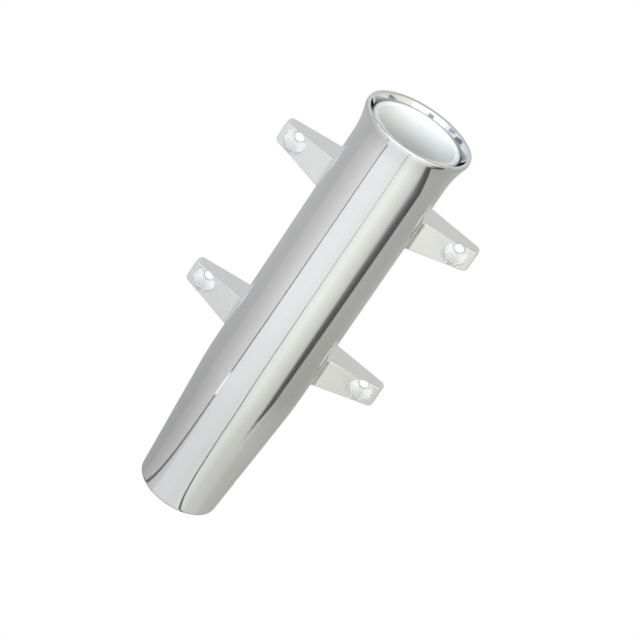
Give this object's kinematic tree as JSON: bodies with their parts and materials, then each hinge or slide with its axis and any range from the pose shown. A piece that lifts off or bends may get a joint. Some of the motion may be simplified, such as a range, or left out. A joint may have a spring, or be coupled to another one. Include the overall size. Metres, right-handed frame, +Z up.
{
  "type": "fishing rod holder",
  "caption": "Side-mount rod holder: polished flared tube with a tapered foot, screw lugs on both sides, soft white liner and a cross pin for the rod butt.",
  "frame": {"origin": "centre of the four screw holes, on the plane of the wall that the lugs sit on", "axes": "+Z up the tube towards its mouth, +Y into the wall, +X to the right as seen from in front of the holder"},
  "size_m": [0.1104, 0.0581, 0.2327],
  "materials": {
    "polished_tube": "mirror polished",
    "cast_lug": "satin, fine cast grain, lightly polished",
    "stainless_pin": "ground stainless rod",
    "white_vinyl": "soft moulded vinyl, slight sheen"
  },
  "bodies": {
    "holder": {"tube": "polished_tube", "gimbal_pin": "stainless_pin", "upper_left_lug": "cast_lug", "upper_right_lug": "cast_lug", "lower_left_lug": "cast_lug", "lower_right_lug": "cast_lug"},
    "liner": {"liner": "white_vinyl"}
  },
  "joints": [
    {"name": "liner_pull_out", "type": "slide", "parent": "holder", "child": "liner", "axis": [0, 0, 1], "range_m": [0, 0.21]}
  ]
}
